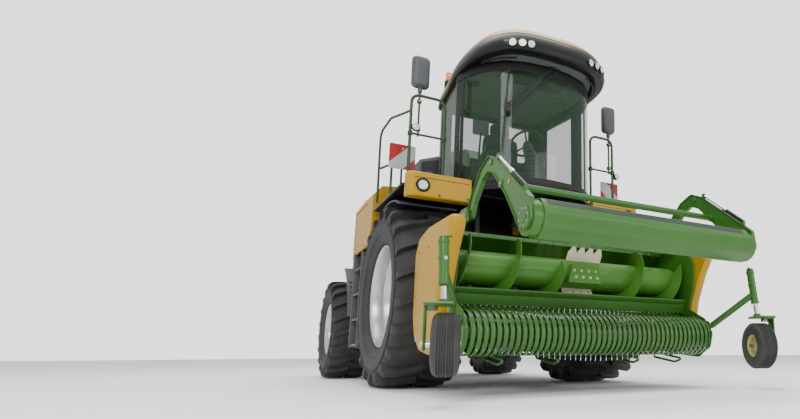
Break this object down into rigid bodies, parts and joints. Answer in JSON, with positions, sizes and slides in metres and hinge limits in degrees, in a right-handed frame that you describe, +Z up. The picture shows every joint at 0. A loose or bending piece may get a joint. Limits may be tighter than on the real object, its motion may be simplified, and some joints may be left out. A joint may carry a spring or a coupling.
{
  "type": "forage harvester",
  "caption": "Self-propelled forage harvester with glazed cab, large front wheels, steered rear wheels, raised pick-up header and rear-facing discharge spout.",
  "frame": {"origin": "bottom centre of the whole machine's box, on the ground", "axes": "+X forward, +Y to the machine's left, +Z up"},
  "size_m": [7.4916, 3.4542, 3.875],
  "materials": {
    "yellow_paint": "gloss",
    "green_paint": "gloss",
    "grey_plastic": "matt",
    "black_paint": "satin",
    "tyre_rubber": "matt",
    "rim_paint": "satin",
    "bright_steel": "polished",
    "tinted_glass": "clear",
    "seat_fabric": "woven",
    "warning_film": "reflective",
    "cast_iron": "rough"
  },
  "bodies": {
    "chassis": {"chassis_frame": "black_paint", "front_axle": "cast_iron", "engine_block": "cast_iron", "chopper_housing": "black_paint", "deck": "yellow_paint", "cab_frame": "black_paint", "windscreen": "tinted_glass", "side_glass": "tinted_glass", "rear_glass": "tinted_glass", "cab_roof": "yellow_paint", "steering_column": "grey_plastic", "driver_seat": "seat_fabric", "body_shell": "yellow_paint", "front_mudguard_left": "grey_plastic", "front_mudguard_right": "grey_plastic", "rear_mudguard_left": "grey_plastic", "rear_mudguard_right": "grey_plastic", "ladder_left": "grey_plastic", "ladder_right": "grey_plastic", "railing_left": "green_paint", "railing_right": "green_paint", "mirror_left": "grey_plastic", "mirror_right": "grey_plastic", "warning_plate_left": "warning_film", "warning_plate_right": "warning_film"},
    "cab_door": {"cab_door": "black_paint", "door_glass": "tinted_glass"},
    "side_cover_left": {"side_cover_left": "yellow_paint"},
    "side_cover_right": {"side_cover_right": "yellow_paint"},
    "rear_screen": {"rear_screen": "grey_plastic"},
    "spout_turret": {"spout_turret": "green_paint"},
    "spout_arm": {"spout_arm": "green_paint"},
    "spout_flap": {"spout_flap": "green_paint"},
    "front_wheel_left": {"front_tyre_left": "tyre_rubber", "front_rim_left": "rim_paint"},
    "front_wheel_right": {"front_tyre_right": "tyre_rubber", "front_rim_right": "rim_paint"},
    "rear_axle": {"rear_axle": "black_paint"},
    "knuckle_left": {"knuckle_left": "cast_iron"},
    "knuckle_right": {"knuckle_right": "cast_iron"},
    "rear_wheel_left": {"rear_tyre_left": "tyre_rubber", "rear_rim_left": "rim_paint"},
    "rear_wheel_right": {"rear_tyre_right": "tyre_rubber", "rear_rim_right": "rim_paint"},
    "feed_housing": {"feed_housing": "green_paint"},
    "lift_barrels": {"lift_barrels": "black_paint"},
    "lift_rods": {"lift_rods": "bright_steel"},
    "header": {"header_frame": "green_paint", "end_shield_left": "yellow_paint", "end_shield_right": "yellow_paint", "reel_bands": "green_paint", "guide_arm_left": "green_paint", "guide_arm_right": "green_paint"},
    "auger": {"auger": "green_paint"},
    "pickup_reel": {"pickup_reel": "black_paint"},
    "crop_press": {"crop_press": "green_paint"},
    "guide_fork_left": {"guide_fork_left": "green_paint"},
    "guide_fork_right": {"guide_fork_right": "green_paint"},
    "guide_wheel_left": {"guide_wheel_left": "tyre_rubber"},
    "guide_wheel_right": {"guide_wheel_right": "tyre_rubber"}
  },
  "joints": [
    {"name": "cab_door_hinge", "type": "hinge", "parent": "chassis", "child": "cab_door", "pos_m": [0.5222, 0.71802, 2.128], "axis": [0, 0, 1], "range_deg": [0, 60]},
    {"name": "side_cover_left_hinge", "type": "hinge", "parent": "chassis", "child": "side_cover_left", "pos_m": [-0.2558, 1.4313, 2.164], "axis": [1, 0, 0], "range_deg": [0, 75]},
    {"name": "side_cover_right_hinge", "type": "hinge", "parent": "chassis", "child": "side_cover_right", "pos_m": [-0.2558, -1.4587, 2.164], "axis": [-1, 0, 0], "range_deg": [0, 75]},
    {"name": "rear_screen_hinge", "type": "hinge", "parent": "chassis", "child": "rear_screen", "pos_m": [-3.2438, 0.7803, 1.95], "axis": [0, 0, -1], "range_deg": [0, 85]},
    {"name": "spout_turn", "type": "hinge", "parent": "chassis", "child": "spout_turret", "pos_m": [-0.1058, -0.0137, 2.63], "axis": [0, 0, 1], "range_deg": [-100, 100]},
    {"name": "spout_lift", "type": "hinge", "parent": "spout_turret", "child": "spout_arm", "pos_m": [-0.3658, -0.0137, 3.02], "axis": [0, 1, 0], "range_deg": [0, 30]},
    {"name": "spout_flap_tilt", "type": "hinge", "parent": "spout_arm", "child": "spout_flap", "pos_m": [-3.4358, -0.0137, 3.06], "axis": [0, -1, 0], "range_deg": [-10, 35]},
    {"name": "front_wheel_left_spin", "type": "hinge", "parent": "chassis", "child": "front_wheel_left", "pos_m": [0.8942, 1.1013, 0.948], "axis": [0, 1, 0], "continuous": true},
    {"name": "front_wheel_right_spin", "type": "hinge", "parent": "chassis", "child": "front_wheel_right", "pos_m": [0.8942, -1.1287, 0.948], "axis": [0, 1, 0], "continuous": true},
    {"name": "rear_axle_swing", "type": "hinge", "parent": "chassis", "child": "rear_axle", "pos_m": [-2.1758, -0.0137, 0.72], "axis": [1, 0, 0], "range_deg": [-7, 7]},
    {"name": "steer_left", "type": "hinge", "parent": "rear_axle", "child": "knuckle_left", "pos_m": [-2.1758, 1.0063, 0.72], "axis": [0, 0, 1], "range_deg": [-40, 40]},
    {"name": "steer_right", "type": "hinge", "parent": "rear_axle", "child": "knuckle_right", "pos_m": [-2.1758, -1.0337, 0.72], "axis": [0, 0, 1], "range_deg": [-40, 40]},
    {"name": "rear_wheel_left_spin", "type": "hinge", "parent": "knuckle_left", "child": "rear_wheel_left", "pos_m": [-2.1758, 1.2128, 0.72], "axis": [0, 1, 0], "continuous": true},
    {"name": "rear_wheel_right_spin", "type": "hinge", "parent": "knuckle_right", "child": "rear_wheel_right", "pos_m": [-2.1758, -1.2402, 0.72], "axis": [0, 1, 0], "continuous": true},
    {"name": "header_lift", "type": "hinge", "parent": "chassis", "child": "feed_housing", "pos_m": [1.3942, -0.0137, 1.15], "axis": [0, -1, 0], "range_deg": [-5.5, 10]},
    {"name": "lift_barrel_swing", "type": "hinge", "parent": "chassis", "child": "lift_barrels", "pos_m": [1.1342, -0.0137, 0.66], "axis": [0, -1, 0], "range_deg": [-5, 8]},
    {"name": "lift_rod_slide", "type": "slide", "parent": "lift_barrels", "child": "lift_rods", "axis": [0.9945, 0, 0.1047], "range_m": [-0.06, 0.1]},
    {"name": "header_tilt", "type": "hinge", "parent": "feed_housing", "child": "header", "pos_m": [2.0192, -0.0137, 1.1], "axis": [1, 0, 0], "range_deg": [-4, 4]},
    {"name": "auger_spin", "type": "hinge", "parent": "header", "child": "auger", "pos_m": [2.3742, -0.0137, 1.085], "axis": [0, 1, 0], "continuous": true},
    {"name": "reel_spin", "type": "hinge", "parent": "header", "child": "pickup_reel", "pos_m": [2.7782, -0.0137, 0.5025], "axis": [0, 1, 0], "continuous": true},
    {"name": "crop_press_lift", "type": "hinge", "parent": "header", "child": "crop_press", "pos_m": [2.5542, -0.0137, 1.5], "axis": [0, -1, 0], "range_deg": [-30, 15]},
    {"name": "guide_fork_left_swivel", "type": "hinge", "parent": "header", "child": "guide_fork_left", "pos_m": [3.29552, 1.5463, 0.66], "axis": [-0.1172, 0, 0.9931], "continuous": true},
    {"name": "guide_wheel_left_spin", "type": "hinge", "parent": "guide_fork_left", "child": "guide_wheel_left", "pos_m": [3.29459, 1.54719, 0.401], "axis": [0.3429, 0.9394, 0], "continuous": true},
    {"name": "guide_fork_right_swivel", "type": "hinge", "parent": "header", "child": "guide_fork_right", "pos_m": [3.29552, -1.5737, 0.66], "axis": [-0.1172, 0, 0.9931], "continuous": true},
    {"name": "guide_wheel_right_spin", "type": "hinge", "parent": "guide_fork_right", "child": "guide_wheel_right", "pos_m": [3.30145, -1.55402, 0.401], "axis": [0.3429, 0.9394, 0], "continuous": true}
  ],
  "couplings": [
    {"joint": "steer_right", "follows": "steer_left", "ratio": 1},
    {"joint": "lift_barrel_swing", "follows": "header_lift", "ratio": 0.5945},
    {"joint": "lift_rod_slide", "follows": "header_lift", "m_per_rad": 0.4601}
  ]
}
